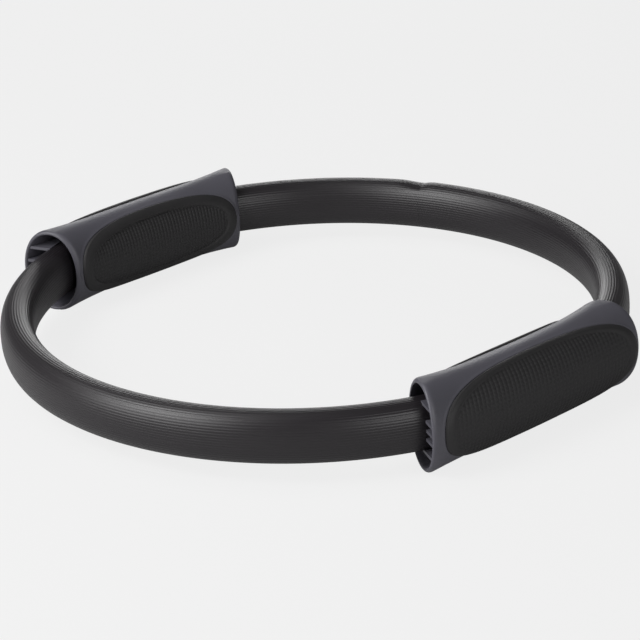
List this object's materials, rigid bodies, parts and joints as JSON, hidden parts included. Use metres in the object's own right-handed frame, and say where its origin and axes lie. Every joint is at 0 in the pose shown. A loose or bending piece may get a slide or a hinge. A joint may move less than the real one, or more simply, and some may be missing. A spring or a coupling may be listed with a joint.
{
  "type": "pilates ring",
  "caption": "Sprung hoop in a ribbed sleeve with padded barrel handles on opposite sides, squeezed or spread between the hands or thighs in pilates exercise.",
  "frame": {"origin": "centre of the ring, on its axis and in its middle plane", "axes": "+Z along the ring's axis, up when the ring lies flat; +X towards the right handle; +Y towards the rear bow"},
  "size_m": [0.3804, 0.3808, 0.0532],
  "materials": {
    "sleeve": "black extruded thermoplastic rubber with fine lengthwise ribs, satin",
    "shell": "mid-grey moulded ABS, fine matt grain",
    "pad": "black soft rubber with a fine ribbed palm texture, matt",
    "strip": "pultruded fibreglass strip",
    "screw": "zinc-plated steel",
    "rivet": "plain aluminium"
  },
  "bodies": {
    "left_handle_and_hoop": {"front_sleeve": "sleeve", "rear_sleeve_right": "sleeve", "rear_sleeve_left": "sleeve", "front_strip": "strip", "rear_strip": "strip", "left_outer_shell": "shell", "left_inner_shell": "shell", "left_outer_pad": "pad", "left_inner_pad": "pad", "left_shell_screws": "screw", "left_strip_rivets": "rivet"},
    "right_handle": {"right_outer_shell": "shell", "right_inner_shell": "shell", "right_outer_pad": "pad", "right_inner_pad": "pad", "right_shell_screws": "screw", "right_strip_rivets": "rivet"}
  },
  "joints": [
    {"name": "squeeze", "type": "slide", "parent": "left_handle_and_hoop", "child": "right_handle", "axis": [-1, 0, 0], "range_m": [-0.03, 0.08], "stiffness_N_per_m": 1300, "deforming": ["front_sleeve", "rear_sleeve_right", "rear_sleeve_left", "front_strip", "rear_strip"]}
  ]
}
